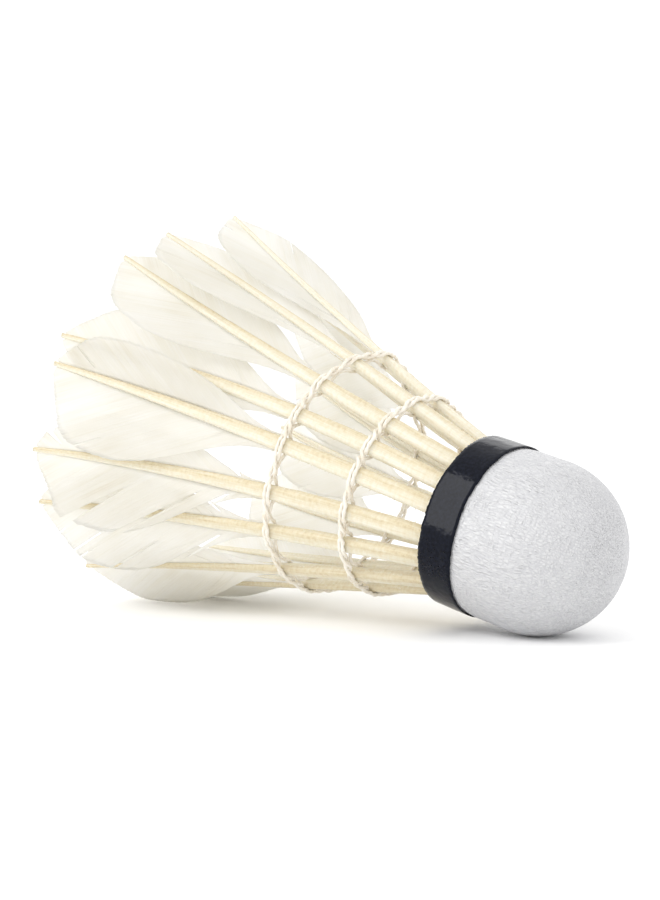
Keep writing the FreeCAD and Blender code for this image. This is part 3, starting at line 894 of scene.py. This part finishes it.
def make_tape(material):
    """The band: tape wound once and a bit, with wavy edges and a step where its end lies."""
    def ragged(angle, place, radius, z):
        edge = 1.0 if z > (BAND_FRONT + BAND_BACK) / 2 else -1.0
        wander = 0.13 * smooth_noise(3 + edge, math.cos(angle) * 3, math.sin(angle) * 3)
        wander += 0.09 * smooth_noise(6 + edge, math.cos(angle) * 12, math.sin(angle) * 12)
        wander += (0.15 + 0.05 * edge) * smooth_noise(9 + edge, math.cos(angle) * 34, math.sin(angle) * 34)
        ripple = 0.02 * smooth_noise(8, math.cos(angle) * 8, math.sin(angle) * 8, z * 0.4)
        lap = TAPE_STEP if angle < TAPE_OVERLAP else 0.0
        outer = 1.0 if radius > HEAD_RADIUS + 0.1 else 0.0
        return radius + (ripple + lap) * outer, z + wander * edge * 0.8

    low, high = BAND_FRONT + 0.1, BAND_BACK - 0.1
    outer, inner = BAND_RADIUS - 0.03, HEAD_RADIUS + 0.01
    profile = [(inner, low), (outer - TAPE_BEVEL, low)]
    profile += [(outer, z) for z in np.linspace(low + TAPE_BEVEL, high - TAPE_BEVEL, 12)]
    profile += [(outer - TAPE_BEVEL, high), (inner, high)]
    points = ring_rows(profile, HEAD_SEGMENTS, ragged)
    faces = grid_faces(len(profile), HEAD_SEGMENTS, wrap_rows=True, wrap_columns=True)
    return new_piece("band_tape_wrap", points, faces, material, ["head_band"])


def make_glue(shafts, material):
    """Beads of glue round the shafts' roots, run together into a lumpy ring on the cork."""
    points, faces = [], []
    for index, shaft in enumerate(shafts):
        first = len(points)
        for radius, height in GLUE_PROFILE:
            for step in range(GLUE_SEGMENTS):
                angle = 2 * math.pi * step / GLUE_SEGMENTS
                level = CORK_BACK + height * (1 + 0.25 * smooth_noise(index, step * 0.4))
                centre, out, across, half_width, half_thick = shaft.at(level)
                lump = 1 + 0.1 * smooth_noise(index + 20, math.cos(angle) * 2, math.sin(angle) * 2, radius)
                size = 1 + (radius - 1) * lump
                offset = across * math.cos(angle) * half_width + out * math.sin(angle) * half_thick
                point = centre + offset * size
                limit = (HEAD_RADIUS - 0.12) / math.hypot(point[0], point[1])
                point[:2] *= min(1.0, limit)
                points.append(point)
        rings = grid_faces(len(GLUE_PROFILE), GLUE_SEGMENTS, wrap_rows=True, wrap_columns=True)
        faces += shifted(rings, first)
    return new_piece("root_glue_beads", points, faces, material, ["root_glue"])


# --- Room, light and camera -----------------------------------------------------------------------

def make_floor():
    nodes = Nodes("pale_floor")
    nodes.shader.inputs["Base Color"].default_value = (1.0, 1.0, 1.0, 1.0)
    nodes.shader.inputs["Roughness"].default_value = 1.0
    nodes.shader.inputs["Specular IOR Level"].default_value = 0.0
    mesh = bpy.data.meshes.new("floor")
    side = FLOOR_HALF_SIDE
    corners = [(-side, -side, 0), (side, -side, 0), (side, side, 0), (-side, side, 0)]
    mesh.from_pydata(corners, [], [(0, 1, 2, 3)])
    mesh.materials.append(nodes.material)
    floor = bpy.data.objects.new("floor", mesh)
    bpy.context.scene.collection.objects.link(floor)


def make_light(name, place, power, width, height):
    """A soft rectangular light that faces LIGHT_TARGET."""
    light = bpy.data.lights.new(name, "AREA")
    light.energy = power
    light.shape = "RECTANGLE"
    light.size = width
    light.size_y = height
    item = bpy.data.objects.new(name, light)
    item.location = place
    direction = Vector(LIGHT_TARGET) - Vector(place)
    item.rotation_euler = direction.to_track_quat("-Z", "Y").to_euler()
    bpy.context.scene.collection.objects.link(item)
    return item


def light_room():
    """White surroundings, two lights, and a panel for the tape to reflect.

    The key is kept out of reflections, and the window is only in them.
    """
    world = bpy.data.worlds.new("white_room")
    world.use_nodes = True
    background = world.node_tree.nodes["Background"]
    background.inputs["Color"].default_value = (1.0, 1.0, 1.0, 1.0)
    background.inputs["Strength"].default_value = WORLD_STRENGTH
    bpy.context.scene.world = world
    bpy.context.scene.view_settings.view_transform = "Standard"
    key = make_light("key", (-0.3, -0.62, 0.55), 1.7, 0.31, 0.31)
    key.visible_glossy = False
    make_light("back", (-0.35, 0.6, 0.5), 0.6, 0.45, 0.45)
    window = make_light("window", (-0.31, -0.59, 0.42), 5.6, 0.4, 0.92)
    window.visible_diffuse = False
    window.visible_transmission = False


def place_camera():
    camera = bpy.data.cameras.new("camera")
    camera.lens = CAMERA_LENS
    camera.sensor_width = CAMERA_SENSOR
    camera.clip_start = 0.01
    item = bpy.data.objects.new("camera", camera)
    azimuth, elevation = math.radians(CAMERA_AZIMUTH), math.radians(CAMERA_ELEVATION)
    level = math.cos(elevation)
    away = Vector((math.sin(azimuth) * level, -math.cos(azimuth) * level, math.sin(elevation)))
    item.location = (Vector(CAMERA_TARGET) + away * CAMERA_DISTANCE) * MM
    item.rotation_euler = Euler((math.pi / 2 - elevation, 0.0, azimuth))
    bpy.context.scene.collection.objects.link(item)
    bpy.context.scene.camera = item


# --- The whole ------------------------------------------------------------------------------------

def paint_node(node, material):
    """Gives a carried-over CAD node its material."""
    item = frame["nodes"][node]
    for place in range(len(item.material_slots)):
        item.material_slots[place].link = "OBJECT"
        item.material_slots[place].material = material


def make_feathers():
    web_paint = web_material()
    shaft_paint = shaft_material()
    shafts = [Shaft(index) for index in range(FEATHERS)]
    webs = []
    for index, shaft in enumerate(shafts):
        make_shaft(shaft, index, shaft_paint)
        for kind in ("wide", "narrow"):
            web = Web(shaft, kind)
            webs.append(web)
            make_web(web, index, web_paint)
    make_stubs(shafts, min(web.low for web in webs), shaft_paint)
    make_hairs(webs, web_paint)
    return shafts


def make_head(shafts):
    cork = cork_material()
    paint_node("cork_plug", cork)
    paint_node("cork_nose", cork)
    make_leather(leather_material())
    make_tape(tape_material())
    make_glue(shafts, glue_material())


def make_threads(shafts):
    cotton = thread_material()
    for row in ROW_HEIGHTS:
        for strand in STRAND_NAMES:
            make_strand(shafts, row, strand, cotton)


place_camera()
make_floor()
light_room()
all_shafts = make_feathers()
make_head(all_shafts)
make_threads(all_shafts)
